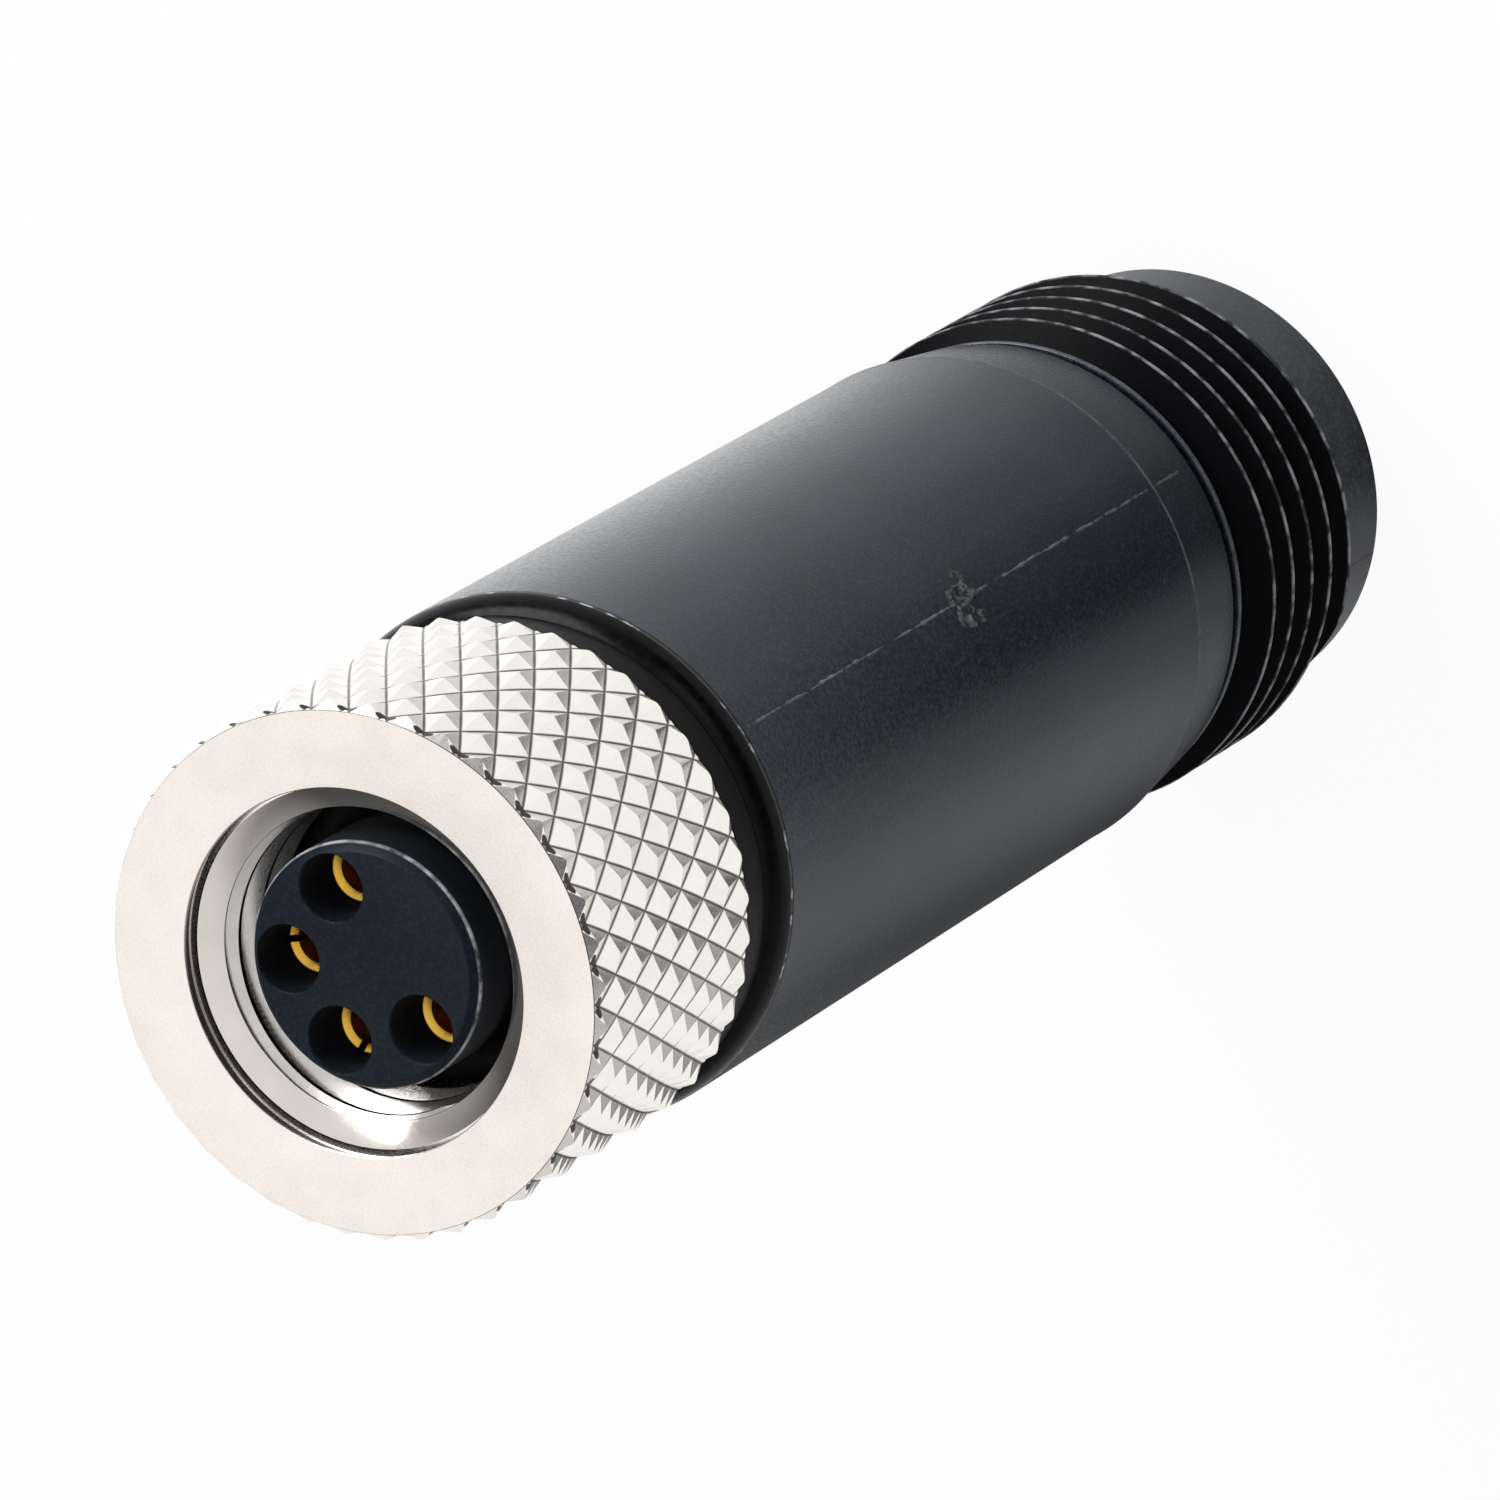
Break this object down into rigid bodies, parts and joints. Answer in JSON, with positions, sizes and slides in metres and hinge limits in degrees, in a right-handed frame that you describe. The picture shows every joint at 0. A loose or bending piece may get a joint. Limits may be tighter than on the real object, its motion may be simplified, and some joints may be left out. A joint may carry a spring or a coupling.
{
  "type": "m8 to m12 connector adapter",
  "caption": "Straight round connector adapter: knurled coupling nut over a socket insert at one end, moulded body, and an outer-threaded plug with recessed pins at the other.",
  "frame": {"origin": "centre of the plug collar's end face, on which the adapter stands", "axes": "+Z along the adapter's axis from the plug end to the socket end; +X towards the wide gap between the socket holes and towards the plug's key"},
  "size_m": [0.0122, 0.0122, 0.0402],
  "materials": {
    "nickel": "satin nickel plate on turned brass",
    "gold": "bright gold plate",
    "body_black": "fine-grained moulded",
    "thread_black": "satin moulded",
    "collar_black": "satin moulded",
    "carrier_black": "satin moulded",
    "gloss_black": "glossy moulded",
    "seal_rubber": "matt",
    "wire_brown": "satin",
    "wire_white": "satin",
    "wire_blue": "satin",
    "wire_black": "satin"
  },
  "bodies": {
    "adapter": {"stop_ring": "gloss_black", "front_seal": "seal_rubber", "nut_bush": "carrier_black", "socket_carrier": "carrier_black", "body": "body_black", "thread_sleeve": "thread_black", "pin_housing": "collar_black", "pin_carrier": "collar_black", "socket_contact_1": "gold", "socket_contact_2": "gold", "socket_contact_3": "gold", "socket_contact_4": "gold", "pin_contact_1": "gold", "pin_contact_2": "gold", "pin_contact_3": "gold", "pin_contact_4": "gold", "wire_1": "wire_brown", "wire_2": "wire_white", "wire_3": "wire_blue", "wire_4": "wire_black"},
    "nut": {"coupling_nut": "nickel"}
  },
  "joints": [
    {"name": "nut_turn", "type": "hinge", "parent": "adapter", "child": "nut", "pos_m": [0, 0, 0.0367], "axis": [0, 0, 1], "continuous": true}
  ]
}
